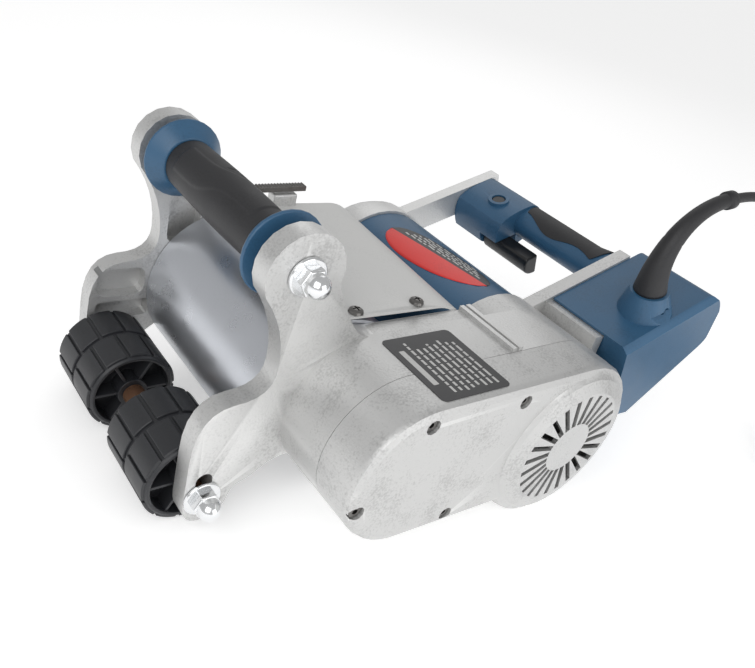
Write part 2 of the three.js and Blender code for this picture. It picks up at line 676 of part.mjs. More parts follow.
// ---- D-handle with its trigger, lock button and switch ----
{
  const y0 = -plateInner - 4 + armWidth + gap;
  const y1 = plateInner + 3 - gap;
  const c = handleCentre;
  const s = new THREE.Shape();
  s.moveTo(-38, -22);
  s.quadraticCurveTo(-44, -4, -36, 8);
  s.quadraticCurveTo(-28, 14, -8, 14.5);
  s.lineTo(2, 14.5);
  s.quadraticCurveTo(17, 12, 17, -4);
  s.quadraticCurveTo(17, -18, 2, -20);
  s.lineTo(-20, -26);
  s.quadraticCurveTo(-32, -28, -38, -22);
  const headFrom = 24;
  const head = prism(s, headFrom, y1, 6);
  const neck = new THREE.CylinderGeometry(handleRadius, handleRadius, headFrom + 4 - y0, 28);
  neck.scale(1, 1, 0.9);
  neck.translate(0, (headFrom + 4 + y0) / 2, -3);
  const taper = new THREE.CylinderGeometry(handleRadius, handleRadius + 3, 16, 28);
  taper.scale(1, 1, 0.86);
  taper.translate(0, y0 + 8, -3);
  const grasp = join(head, neck, taper);
  const well = post({ x: -16, y: 50 }, buttonRadius + gap, 4, 40, 20);
  const wellRim = post({ x: -16, y: 50 }, buttonRadius + 3.6, 5, 16.2, 24);
  const triggerRoom = block(-60, -14, -14, 46.6, -34.5, -11);
  const switchRoom = block(-15, 6, 27, 76, -14, 3.6);
  const body = cut(join(grasp, wellRim), well, triggerRoom, switchRoom);
  addMesh('d_handle', body, toolBlue, rearFrame).position.set(c.x, 0, c.z);
  const paddle = new THREE.Shape();
  paddle.moveTo(-34, -11.6);
  paddle.lineTo(-20, -11.6);
  paddle.lineTo(-20, -32);
  paddle.quadraticCurveTo(-31, -33, -35, -25);
  paddle.quadraticCurveTo(-37, -17, -34, -11.6);
  addMesh('trigger', prism(paddle, -13, 46, 6), blackPlastic, rearFrame).position.set(c.x, 0, c.z);
  const button = post({ x: -16, y: 50 }, buttonRadius, 7, 15.2, 20);
  addMesh('lock_button', button, blackPlastic, rearFrame).position.set(c.x, 0, c.z);
  const switchBlock = addMesh('switch_block', block(-12.5, 5, 29, 74, -13, 2.6), blackPlastic, rearFrame);
  switchBlock.position.set(c.x, 0, c.z);
}

// ---- mains lead: hangs from the relief, lands beside the tool and ends in a coil ----
const coilCentre = { x: 484, y: -288 };
const coilOuter = coilRadius + coilTurnsWide * cordRadius;
const coilInner = coilRadius - coilTurnsWide * cordRadius;
const leadPoints = [
  [305.3, -139, 244.1], [325, -139.5, 246.2], [350, -142, 245.5], [374, -149, 241], [395, -161, 230.5],
  [410, -175, 214], [420, -190, 191], [426.5, -204, 163], [430, -214.5, 134], [431.5, -222, 104],
  [432, -226, 75], [432, -228, 50], [432, -231.5, 29], [432, -238, 13.5], [432, -247, 6.2], [432, -257, 4.3],
];
{
  const path = new THREE.CatmullRomCurve3(leadPoints.map((p) => new THREE.Vector3(...p)));
  const section = new THREE.Shape();
  section.absarc(0, 0, cordRadius, 0, 2 * Math.PI, false);
  const sweep = { steps: 28, curveSegments: 4, extrudePath: path, bevelEnabled: false };
  const lead = new THREE.ExtrudeGeometry(section, sweep);
  addMesh('mains_lead', lead, blackRubber, leadGroup);
  const coilTop = 2 * cordRadius * coilTurnsHigh;
  const ring = tube({ x: 0, z: 0 }, coilOuter, coilInner, 0, coilTop, 32);
  ring.rotateX(Math.PI / 2);
  ring.translate(coilCentre.x, coilCentre.y, 0);
  addMesh('mains_lead_coil', ring, blackRubber, leadGroup);
  const plugLength = 38;
  const plug = turned({ x: 0, z: 0 }, [
    [0, 0], [6, 0], [7, 12], [15, 20], [17, 24], [17, plugLength], [0, plugLength],
  ], 18);
  const pinEnd = plugLength + 19;
  const pinProfile = [[0, plugLength - 1], [2.4, plugLength - 1], [2.4, pinEnd - 1], [0, pinEnd]];
  const pin = (z) => turned({ x: 0, z }, pinProfile, 8);
  const body = join(plug, pin(9.5), pin(-9.5));
  const placed = toGeometry(body);
  placed.rotateZ(rad(90));
  placed.rotateX(rad(90));
  placed.translate(coilCentre.x + 20, coilCentre.y + 22, coilTop + gap + 17);
  addMesh('mains_plug', placed, blackPlastic, leadGroup);
}

// The origin is the middle of the tool's footprint, on the surface that it stands on.
const bounds = new THREE.Box3().setFromObject(tool, true);
const middle = bounds.getCenter(new THREE.Vector3());
const object = new THREE.Group();
for (const part of [tool, leadGroup]) {
  part.position.set(-middle.x, -middle.y, -bounds.min.z);
  object.add(part);
}

export default object;
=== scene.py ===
import json
import math
import random
import bmesh
import bpy
from mathutils import Matrix, Vector


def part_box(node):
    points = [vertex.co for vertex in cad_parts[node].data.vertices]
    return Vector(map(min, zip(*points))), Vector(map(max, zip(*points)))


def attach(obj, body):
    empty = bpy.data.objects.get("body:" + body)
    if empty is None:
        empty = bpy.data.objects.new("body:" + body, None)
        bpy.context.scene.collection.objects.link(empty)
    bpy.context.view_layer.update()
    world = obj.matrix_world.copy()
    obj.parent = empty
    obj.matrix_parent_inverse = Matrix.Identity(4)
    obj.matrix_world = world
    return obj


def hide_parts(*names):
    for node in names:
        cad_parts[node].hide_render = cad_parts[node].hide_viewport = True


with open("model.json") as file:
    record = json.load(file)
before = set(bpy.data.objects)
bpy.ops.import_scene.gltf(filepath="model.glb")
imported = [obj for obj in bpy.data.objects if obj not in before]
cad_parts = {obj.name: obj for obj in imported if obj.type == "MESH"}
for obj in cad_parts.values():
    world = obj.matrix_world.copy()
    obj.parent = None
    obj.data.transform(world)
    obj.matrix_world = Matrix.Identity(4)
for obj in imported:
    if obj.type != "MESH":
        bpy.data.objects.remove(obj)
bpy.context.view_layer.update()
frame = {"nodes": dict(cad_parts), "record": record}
nodes = frame["nodes"]
bodyOf = {node: body for body, members in frame["record"]["behaviour"]["bodies"].items() for node in members}
random.seed(7)
mm = 0.001


def middleOf(node):
    low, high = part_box(node)
    return (low + high) / 2


cutterAxis = middleOf("cutter_shaft")
motorAxis = middleOf("rotor_shaft")
gripAxis = middleOf("front_grip")
wheelAxis = middleOf("wheel_axle")
toolZero = Vector((cutterAxis.x + 3 * mm, gripAxis.y, 0))  # middle plane of the tool, over the case's nose


def place(x, y, z):  # millimetres from toolZero
    return toolZero + Vector((x, y, z)) * mm


rearTilt = math.radians(18)
noseHeight = 84.4
caseFall = 0.0134  # the case's top falls towards the rear


def fromRear(x, y, z):  # from the tilted rear frame to millimetres from toolZero
    ahead = x * math.cos(rearTilt) - z * math.sin(rearTilt)
    return ahead, y, noseHeight + x * math.sin(rearTilt) + z * math.cos(rearTilt)


# camera and light
cameraSetup = {
    "spot": (-303.4, -408.5, 398.9),
    "azimuth": -44.95,
    "elevation": 30.47,
    "roll": 16.27,
    "lens": 36.87,
}


def makeCamera(setup):
    azimuth = math.radians(setup["azimuth"])
    elevation = math.radians(setup["elevation"])
    roll = math.radians(setup["roll"])
    flat = math.cos(elevation)
    back = Vector((math.sin(azimuth) * flat, -math.cos(azimuth) * flat, math.sin(elevation)))
    level = Vector((math.cos(azimuth), math.sin(azimuth), 0))
    upright = back.cross(level)
    right = level * math.cos(roll) + upright * math.sin(roll)
    up = upright * math.cos(roll) - level * math.sin(roll)
    data = bpy.data.cameras.new("camera")
    data.lens = setup["lens"]
    data.sensor_width = 36
    data.clip_start = 0.01
    camera = bpy.data.objects.new("camera", data)
    turn = Matrix((right, up, back)).transposed().to_4x4()
    camera.matrix_world = Matrix.Translation(place(*setup["spot"])) @ turn
    bpy.context.collection.objects.link(camera)
    bpy.context.scene.camera = camera


makeCamera(cameraSetup)

lightSetup = {
    "key": {"spot": (-1.1, -0.8, 1.1), "size": 1.3, "watts": 11},
    "fill": {"spot": (0.4, -1.6, 0.6), "size": 1.2, "watts": 6},
    "rim": {"spot": (0.9, 1.1, 1.3), "size": 1.2, "watts": 3},
}
worldStrength = 0.5


def makeLights(setup):
    for name, each in setup.items():
        data = bpy.data.lights.new(name, "AREA")
        data.energy = each["watts"]
        data.size = each["size"]
        lamp = bpy.data.objects.new(name, data)
        lamp.location = each["spot"]
        aim = Vector((0, 0, 0.1)) - lamp.location
        lamp.rotation_euler = aim.to_track_quat("-Z", "Y").to_euler()
        bpy.context.collection.objects.link(lamp)
    world = bpy.data.worlds.new("studio")
    world.use_nodes = True
    backdrop = world.node_tree.nodes["Background"]
    backdrop.inputs["Color"].default_value = (1, 1, 1, 1)
    backdrop.inputs["Strength"].default_value = worldStrength
    bpy.context.scene.world = world
    bpy.context.scene.view_settings.view_transform = "Standard"


makeLights(lightSetup)
print("camera and lights made")


# finishes
def makeFinish(name, colour, roughness, metallic=0.0, grain=None, mottle=0.0, wear=0.0):
    # grain is (size in mm, bump depth in mm); mottle and wear shift the colour
    finish = bpy.data.materials.new(name)
    finish.use_nodes = True
    tree = finish.node_tree
    shader = tree.nodes["Principled BSDF"]
    shader.inputs["Base Color"].default_value = (*colour, 1)
    shader.inputs["Roughness"].default_value = roughness
    shader.inputs["Metallic"].default_value = metallic
    spots = tree.nodes.new("ShaderNodeTexCoord")
    if mottle:
        cloud = tree.nodes.new("ShaderNodeTexNoise")
        cloud.inputs["Scale"].default_value = 45
        cloud.inputs["Detail"].default_value = 6
        tree.links.new(spots.outputs["Object"], cloud.inputs["Vector"])
        speck = tree.nodes.new("ShaderNodeTexNoise")
        speck.inputs["Scale"].default_value = 620
        speck.inputs["Detail"].default_value = 2
        tree.links.new(spots.outputs["Object"], speck.inputs["Vector"])
        both = tree.nodes.new("ShaderNodeMath")
        both.operation = "ADD"
        tree.links.new(cloud.outputs["Fac"], both.inputs[0])
        tree.links.new(speck.outputs["Fac"], both.inputs[1])
        ramp = tree.nodes.new("ShaderNodeValToRGB")
        ramp.color_ramp.elements[0].position = 0.7
        ramp.color_ramp.elements[1].position = 1
        ramp.color_ramp.elements[0].color = (*[c * (1 - mottle) for c in colour], 1)
        ramp.color_ramp.elements[1].color = (*[min(1, c * (1 + mottle)) for c in colour], 1)
        tree.links.new(both.outputs[0], ramp.inputs["Fac"])
        tree.links.new(ramp.outputs["Color"], shader.inputs["Base Color"])
        rough = tree.nodes.new("ShaderNodeMapRange")
        rough.inputs["To Min"].default_value = max(0.05, roughness - 0.1)
        rough.inputs["To Max"].default_value = min(1, roughness + 0.1)
        tree.links.new(cloud.outputs["Fac"], rough.inputs["Value"])
        tree.links.new(rough.outputs["Result"], shader.inputs["Roughness"])
    if grain:
        size, depth = grain
        pits = tree.nodes.new("ShaderNodeTexNoise")
        pits.inputs["Scale"].default_value = 1000 / size
        pits.inputs["Detail"].default_value = 3
        tree.links.new(spots.outputs["Object"], pits.inputs["Vector"])
        bump = tree.nodes.new("ShaderNodeBump")
        bump.inputs["Distance"].default_value = depth * mm
        bump.inputs["Strength"].default_value = 0.8
        tree.links.new(pits.outputs["Fac"], bump.inputs["Height"])
        tree.links.new(bump.outputs["Normal"], shader.inputs["Normal"])
    if wear:  # bright rubbed edges
        edge = tree.nodes.new("ShaderNodeNewGeometry")
        limit = tree.nodes.new("ShaderNodeMapRange")
        limit.inputs["From Min"].default_value = 0.53
        limit.inputs["From Max"].default_value = 0.62
        limit.inputs["To Max"].default_value = wear
        mix = tree.nodes.new("ShaderNodeMix")
        mix.data_type = "RGBA"
        tree.links.new(edge.outputs["Pointiness"], limit.inputs["Value"])
        tree.links.new(limit.outputs["Result"], mix.inputs["Factor"])
        source = shader.inputs["Base Color"].links
        if source:
            tree.links.new(source[0].from_socket, mix.inputs["A"])
        else:
            mix.inputs["A"].default_value = (*colour, 1)
        mix.inputs["B"].default_value = (*[min(1, c * 1.6 + 0.03) for c in colour], 1)
        tree.links.new(mix.outputs["Result"], shader.inputs["Base Color"])
    return finish


finishes = {
    "cast_silver": makeFinish("castSilver", (0.53, 0.53, 0.525), 0.42, 0.7, (1.7, 0.32), 0.13, 0.5),
    "sheet_silver": makeFinish("sheetSilver", (0.6, 0.62, 0.66), 0.3, 0.85, (3, 0.012), 0.015),
    "cover_grey": makeFinish("coverGrey", (0.6, 0.6, 0.59), 0.4, 0.0, (0.5, 0.01), 0.03),
    "tool_blue": makeFinish("toolBlue", (0.03, 0.095, 0.18), 0.36, 0.0, (0.5, 0.05), 0.08, 0.25),
    "black_rubber": makeFinish("blackRubber", (0.017, 0.017, 0.019), 0.55, 0.0, (0.35, 0.05), 0.15, 0.2),
    "black_plastic": makeFinish("blackPlastic", (0.01, 0.01, 0.011), 0.32, 0.0, (0.5, 0.03), 0.1, 0.2),
    "wheel_plastic": makeFinish("wheelPlastic", (0.018, 0.019, 0.022), 0.42, 0.0, (0.8, 0.05), 0.15, 0.3),
    "zinc_plate": makeFinish("zincPlate", (0.78, 0.79, 0.8), 0.16, 1.0, (2, 0.01), 0.04),
    "dark_steel": makeFinish("darkSteel", (0.16, 0.155, 0.15), 0.35, 1.0, (0.6, 0.02), 0.15),
    "brown_steel": makeFinish("brownSteel", (0.16, 0.085, 0.05), 0.5, 0.7, (1.2, 0.06), 0.4),
    "blade_steel": makeFinish("bladeSteel", (0.5, 0.5, 0.5), 0.3, 1.0, (1.5, 0.02), 0.1),
    "copper": makeFinish("copperMetal", (0.5, 0.24, 0.13), 0.35, 1.0, (1, 0.02), 0.15),
}
labelDark = makeFinish("labelDark", (0.035, 0.035, 0.037), 0.4, 0.0, (0.6, 0.01), 0.05)
labelLight = makeFinish("labelLight", (0.5, 0.5, 0.49), 0.5, 0.0, (0.6, 0.01), 0.05)
stickerRed = makeFinish("stickerRed", (0.68, 0.035, 0.03), 0.35, 0.0, (0.8, 0.01), 0.05)
stickerDark = makeFinish("stickerDark", (0.05, 0.05, 0.052), 0.4, 0.0, (0.8, 0.01), 0.08)
print("finishes made")


# shared making
def addPiece(name, mesh, slotName, body, replaces=(), finish=None):
    piece = bpy.data.objects.new(name, mesh)
    bpy.context.collection.objects.link(piece)
    mesh.materials.clear()
    for each in finish if isinstance(finish, list) else [finish or finishes[slotName]]:
        mesh.materials.append(each)
    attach(piece, body)
    if replaces:
        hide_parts(*replaces)
    return piece


def meshFrom(form, name, smooth=True):
    mesh = bpy.data.meshes.new(name)
    bmesh.ops.recalc_face_normals(form, faces=form.faces)
    form.to_mesh(mesh)
    form.free()
    for face in mesh.polygons:
        face.use_smooth = smooth
    return mesh


def softenEdges(piece, width, segments=3, angle=28):
    bevel = piece.modifiers.new("edges", "BEVEL")
    bevel.limit_method = "ANGLE"
    bevel.angle_limit = math.radians(angle)
    bevel.width = width * mm
    bevel.segments = segments
    bevel.harden_normals = True
    bevel.miter_outer = "MITER_ARC"
    shine = piece.modifiers.new("shading", "WEIGHTED_NORMAL")
    shine.keep_sharp = True


def refine(node, width, segments=3, angle=28, crispInside=0):
    # edges nearer the motor's axis than crispInside stay as they are
    # the machined or moulded piece with its real, rounded edges
    slotName = next(s["material_slot"] for s in frame["record"]["subparts"] if s["node"] == node)
    form = bmesh.new()
    form.from_mesh(nodes[node].data)
    bmesh.ops.remove_doubles(form, verts=form.verts, dist=1e-6)
    bmesh.ops.dissolve_limit(form, angle_limit=math.radians(0.6), verts=form.verts, edges=form.edges)
    if crispInside:
        weight = form.edges.layers.float.new("bevel_weight_edge")
        for edge in form.edges:
            spots = [math.hypot(v.co.x - motorAxis.x, v.co.z - motorAxis.z) / mm for v in edge.verts]
            corner = len(edge.link_faces) == 2 and edge.calc_face_angle() > math.radians(angle)
            if min(spots) > crispInside and corner:
                edge[weight] = 1
    piece = addPiece(node + "_shell", meshFrom(form, node + "_shell"), slotName, bodyOf[node], [node])
    for face in piece.data.polygons:
        face.use_smooth = abs(face.normal.y) < 0.9995  # flat sides shade flat
    softenEdges(piece, width, segments, angle)
    if crispInside:
        piece.modifiers["edges"].limit_method = "WEIGHT"
    return piece


def turnProfile(form, centre, profile, sides):
    # profile holds (radius, along) pairs in millimetres; it closes on itself or on the axis
    rings = []
    for radius, along in profile:
        if radius < 1e-6:
            spot = centre + Vector((0, along * mm, 0))
            rings.append([form.verts.new(spot)])
            continue
        ring = []
        for i in range(sides):
            angle = 2 * math.pi * i / sides
            offset = Vector((radius * math.cos(angle), along, radius * math.sin(angle))) * mm
            ring.append(form.verts.new(centre + offset))
        rings.append(ring)
    for a, b in zip(rings, rings[1:]):
        for i in range(sides):
            j = (i + 1) % sides
            corners = [a[i % len(a)], a[j % len(a)], b[j % len(b)], b[i % len(b)]]
            unique = list(dict.fromkeys(corners))
            if len(unique) > 2:
                form.faces.new(unique)


def addBlock(form, low, high, turn=None, about=None):
    made = bmesh.ops.create_cube(form, size=1)["verts"]
    size = Vector(high) - Vector(low)
    middle = (Vector(high) + Vector(low)) / 2
    for vert in made:
        vert.co = Vector((vert.co.x * size.x, vert.co.y * size.y, vert.co.z * size.z)) + middle
        if turn is not None:
            vert.co = about + turn @ (vert.co - about)
    return made


# mains lead
leadSetup = {
    "thickness": 8,
    "coilRadius": 44,
    "coilCentre": (484, -288),
    "turnsWide": 3,
    "turnsHigh": 3,
    "turns": 7,
    "floorHeight": 4.1,
    "tail": [
        (-44, 0, 20), (-41, -16, 20), (-31, -31, 20.3), (-16, -41, 22), (0, -43, 26), (16, -40, 31),
        (31, -31, 36), (41, -17, 40), (44, -2, 41.6), (40, 12, 41.6), (31, 20, 41.6), (20, 22, 41.6),
    ],
}
leadRoute = [
    (305.3, -139, 244.1), (325, -139.5, 246.2), (350, -142, 245.5), (374, -149, 241), (395, -161, 230.5),
    (410, -175, 214), (420, -190, 191), (426.5, -204, 163), (430, -214.5, 134), (431.5, -222, 104),
    (432, -226, 75), (432, -228, 50), (432, -231.5, 29), (432, -238, 13.5), (432, -247, 6.2), (432, -257, 4.3),
]


def coilPoints(setup):
    # turns lie beside each other from the outside in, then back out on the next layer
    wide = setup["turnsWide"]
    step = setup["thickness"]
    centreX, centreY = setup["coilCentre"]
    turns = []
    for layer in range(setup["turnsHigh"]):
        radii = [setup["coilRadius"] + (step - 0.05) * (1 - i) for i in range(wide)]
        if layer % 2:
            radii.reverse()
        turns += [(radius, setup["floorHeight"] + layer * (step - 0.1)) for radius in radii]
    points = []
    perTurn = 24
    for turn in range(setup["turns"]):
        radius, height = turns[turn]
        nextRadius, nextHeight = turns[turn + 1]
        for i in range(perTurn):
            share = i / perTurn
            blend = max(0, (share - 0.75) / 0.25)
            r = radius + (nextRadius - radius) * blend
            angle = math.pi + 2 * math.pi * share
            spot = (centreX + r * math.cos(angle), centreY + r * math.sin(angle))
            points.append((*spot, height + (nextHeight - height) * blend))
    return points


def makeLead(setup):
    centreX, centreY = setup["coilCentre"]
    tail = [(centreX + x, centreY + y, z) for x, y, z in setup["tail"]]
    arrival = (centreX - setup["coilRadius"] - setup["thickness"], centreY + 14, setup["floorHeight"])
    route = leadRoute + [arrival] + coilPoints(setup) + tail
    data = bpy.data.curves.new("mains_cable", "CURVE")
    data.dimensions = "3D"
    spline = data.splines.new("NURBS")
    spline.points.add(len(route) - 1)
    for point, spot in zip(spline.points, route):
        point.co = (*place(*spot), 1)
    spline.use_endpoint_u = True
    spline.order_u = 3
    data.resolution_u = 4
    data.bevel_depth = setup["thickness"] / 2 * mm
    data.bevel_resolution = 4
    data.use_fill_caps = True
    cable = bpy.data.objects.new("mains_cable", data)
    bpy.context.collection.objects.link(cable)
    data.materials.append(finishes["black_rubber"])
    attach(cable, "chassis")
    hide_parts("mains_lead", "mains_lead_coil")


plugShell = refine("mains_plug", 1.2)
makeLead(leadSetup)
print("lead made")


# castings, covers and boxes
edgeWidths = {
    "gearbox_housing": 2.6,
    "far_side_plate": 2.6,
    "motor_end_bell": 2.0,
    "controller_box": 2.0,
    "d_handle": 3.0,
    "trigger": 2.0,
    "lock_button": 1.2,
    "motor_housing": 0.8,
    "blade_guard": 0.6,
    "grip_flange_near": 0.8,
    "grip_flange_far": 0.8,
    "axle_sleeve": 0.6,
}
for node, width in edgeWidths.items():
    refine(node, width)
refine("gearbox_cover", 1.2, crispInside=52)  # the vents keep crisp edges
topCover = refine("top_cover", 0.5)
coverEdge = {"from": 95, "farCut": 10, "extraCut": 11, "farSide": 72, "width": 156, "drop": 3}
for vert in topCover.data.vertices:
    away = (vert.co - toolZero) / mm
    if away.x > coverEdge["from"]:  # the sheet's rear edge runs slightly askew
        askew = coverEdge["extraCut"] * (coverEdge["farSide"] - away.y) / coverEdge["width"]
        vert.co.x -= (coverEdge["farCut"] + askew) * mm
        vert.co.z -= coverEdge["drop"] * mm
print("shells made")


# cast ledge between the case and the cover sheet
ledgeSetup = {"x": (6, 110), "y": (-101, -82.6), "z": (122, 138.7)}


def makeLedge(s):
    form = bmesh.new()
    addBlock(form, place(s["x"][0], s["y"][0], s["z"][0]), place(s["x"][1], s["y"][1], s["z"][1]))
    for vert in form.verts:
        vert.co.z -= (vert.co.x - toolZero.x) * caseFall
    piece = addPiece("case_ledge", meshFrom(form, "case_ledge"), "cast_silver", "chassis")
    softenEdges(piece, 1.5, 3)


makeLedge(ledgeSetup)


# soft overmould on the back of the D-handle
handleSpot = (287, -31)  # the neck's axis in the tilted rear frame
neckMiddle = (282.5, 0, 143.6)
overmouldSetup = {
    "from": -72,
    "to": 23.4,
    "radii": (17.0, 15.3),
    "middle": 62,
    "half": 62,
    "thick": 0.7,
}


def makeOvermould(s):
    wide, deep = s["radii"]

    def onNeck(along, degrees, lift):
        a = math.radians(degrees)
        swell = 3 * max(0, min(1, (-58 - along) / 16))
        x = handleSpot[0] + (wide + swell + lift) * math.cos(a)
        z = handleSpot[1] + (deep + swell * 0.86 + lift) * math.sin(a)
        return place(*fromRear(x, along, z))

    form = bmesh.new()
    rows = []
    steps = 60
    across = 24
    for i in range(steps + 1):
        share = i / steps
        along = s["from"] + (s["to"] - s["from"]) * share
        ends = math.sqrt(max(0.02, min(1, share / 0.08, (1 - share) / 0.03)))
        half = s["half"] * ends * (1 + 0.2 * math.sin(share * 9 + 2.2))
        middle = s["middle"] + 7 * math.sin(share * 4)
        angles = [middle + half * (2 * j / across - 1) for j in range(across + 1)]
        rows.append([form.verts.new(onNeck(along, degrees, 0.05)) for degrees in angles])
    for a, b in zip(rows, rows[1:]):
        for j in range(across):
            form.faces.new((a[j], a[j + 1], b[j + 1], b[j]))
    piece = addPiece("handle_overmould", meshFrom(form, "handle_overmould"), "black_rubber", "chassis")
    skin = piece.modifiers.new("skin", "SOLIDIFY")
    skin.thickness = s["thick"] * mm
    outward = piece.data.polygons[0].normal.dot(piece.data.vertices[0].co - place(*neckMiddle))
    skin.offset = 1 if outward > 0 else -1  # thickens away from the handle
    softenEdges(piece, 0.3, 2)


makeOvermould(overmouldSetup)


# acorn nuts
nutSetup = {"flats": 17, "flangeRadius": 13, "flangeHeight": 2.4, "hexHeight": 9.5, "height": 19.4}


def makeNut(node, axis, side):
    s = nutSetup
    low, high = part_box(node)
    base = low.y if side > 0 else high.y
    centre = Vector((axis.x, base, axis.z))
    form = bmesh.new()
    flange = s["flangeRadius"] - 0.1
    turnProfile(form, centre, [(0, 0), (flange, 0), (flange, side * 1.6),
                               (flange - 0.8, side * s["flangeHeight"]),
                               (0, side * s["flangeHeight"])], 48)
    corner = s["flats"] / 2 / math.cos(math.pi / 6)
    start = side * (s["flangeHeight"] - 0.2)
    end = side * s["hexHeight"]
    turnProfile(form, centre, [(0, start), (corner, start), (corner, end - side),
                               (corner - 1.2, end), (0, end)], 6)
    dome = 7.8
    straight = s["height"] - dome
    profile = [(0, end - side), (dome, end - side), (dome, side * straight)]
    for i in range(1, 9):
        angle = math.pi / 2 * i / 8
        profile.append((dome * math.cos(angle) if i < 8 else 0, side * (straight + dome * math.sin(angle))))
    turnProfile(form, centre, profile, 40)
    piece = addPiece(node + "_shell", meshFrom(form, node), "zinc_plate", bodyOf[node], [node])
    softenEdges(piece, 0.4, 2)


for node, axis, side in (("grip_nut_near", gripAxis, -1), ("grip_nut_far", gripAxis, 1),
                         ("axle_nut_near", wheelAxis, -1), ("axle_nut_far", wheelAxis, 1)):
    makeNut(node, axis, side)


# front grip
gripSetup = {"radius": 19, "swell": 1.0, "panelRise": 0.8, "panelHalf": 0.55, "towards": 118}


def makeGrip(s):
    low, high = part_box("front_grip")
    length = (high.y - low.y) / mm
    sides = 120
    steps = 140
    form = bmesh.new()
    rows = []
    for k in range(steps + 1):
        share = k / steps
        along = (share - 0.5) * length
        row = []
        for i in range(sides):
            angle = 2 * math.pi * i / sides
            r = s["radius"] - 0.8 + s["swell"] * math.sin(math.pi * share)
            middle = math.radians(s["towards"]) + 0.35 * math.tanh((share - 0.5) * 9)
            away = math.atan2(math.sin(angle - middle), math.cos(angle - middle))
            inside = s["panelHalf"] - abs(away)
            ends = min(share - 0.1, 0.9 - share) * length / s["radius"]
            depth = min(inside, ends) / 0.08
            r += s["panelRise"] * max(0, min(1, depth + 0.5))
            for groove in (0.42, 0.5, 0.58):
                if abs(away + 1.1) < 0.3 and abs(share - groove) * length < 1.1:
                    r -= 0.7
            offset = Vector((r * math.cos(angle), along, r * math.sin(angle))) * mm
            row.append(form.verts.new(gripAxis + offset))
        rows.append(row)
    for a, b in zip(rows, rows[1:]):
        for i in range(sides):
            form.faces.new((a[i], a[(i + 1) % sides], b[(i + 1) % sides], b[i]))
    form.faces.new(rows[0])
    form.faces.new(rows[-1])
    mesh = meshFrom(form, "front_grip_rubber")
    addPiece("front_grip_rubber", mesh, "black_rubber", "chassis", ["front_grip"])


makeGrip(gripSetup)
print("grip and nuts made")


# guide wheels
wheelSetup = {"radius": 33, "tread": 1.7, "rows": 2, "lugs": 11, "rim": 5, "hub": 11, "hollow": 15, "spokes": 6}


def makeWheel(node, side):
    s = wheelSetup
    low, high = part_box(node)
    centre = Vector((wheelAxis.x, (low.y + high.y) / 2, wheelAxis.z))
    half = (high.y - low.y) / mm / 2
    base = s["radius"] - s["tread"]
    inner = base - s["rim"] + 1
    bore = 5.7
    form = bmesh.new()
    profile = [
        (bore, -half), (s["hub"], -half), (s["hub"], -half + s["hollow"]), (inner, -half + s["hollow"]),
        (inner, -half + 0.5), (inner + 1.5, -half), (base - 1.8, -half), (base, -half + 2), (base, half - 2),
        (base - 1.8, half), (inner + 1.5, half), (inner, half - 0.5), (inner, half - s["hollow"]),
        (s["hub"], half - s["hollow"]), (s["hub"], half), (bore, half), (bore, -half),
    ]
    turnProfile(form, centre, profile, 66)
    for k in range(s["spokes"]):
        turn = Matrix.Rotation(2 * math.pi * k / s["spokes"], 3, "Y")
        low2 = centre + Vector((s["hub"] - 1, -half + 2, -1.1)) * mm
        high2 = centre + Vector((inner + 1, half - 2, 1.1)) * mm
        addBlock(form, low2, high2, turn, centre)
    pitch = 2 * math.pi / s["lugs"]
    for row in range(s["rows"]):
        y0 = -half + 1.5 + row * (half - 0.5)
        y1 = y0 + half - 3.2
        for k in range(s["lugs"]):
            from_ = pitch * (k + 0.5 * row) + 0.04
            to = from_ + pitch - 0.08
            cells = 6
            loop = []
            for i in range(cells + 1):
                angle = from_ + (to - from_) * i / cells
                ends = []
                top = s["radius"] - 0.05
                for r, y in ((base - 0.5, y0), (top, y0 + 0.5), (top, y1 - 0.5), (base - 0.5, y1)):
                    offset = Vector((r * math.cos(angle), y, r * math.sin(angle))) * mm
                    ends.append(form.verts.new(centre + offset))
                loop.append(ends)
            for a, b in zip(loop, loop[1:]):
                for j in range(4):
                    form.faces.new((a[j], a[(j + 1) % 4], b[(j + 1) % 4], b[j]))
            form.faces.new(loop[0])
            form.faces.new(loop[-1])
    piece = addPiece(node + "_tread", meshFrom(form, node + "_tread"), "wheel_plastic", bodyOf[node], [node])
    softenEdges(piece, 0.5, 2, 35)


makeWheel("guide_wheel_near", -1)
makeWheel("guide_wheel_far", 1)
print("wheels made")


# strain relief
reliefSetup = {"foot": 13.2, "end": 5.9, "collar": 7.4, "footSpot": (259.5, -139, 4.8), "tip": (305, -139, 244)}


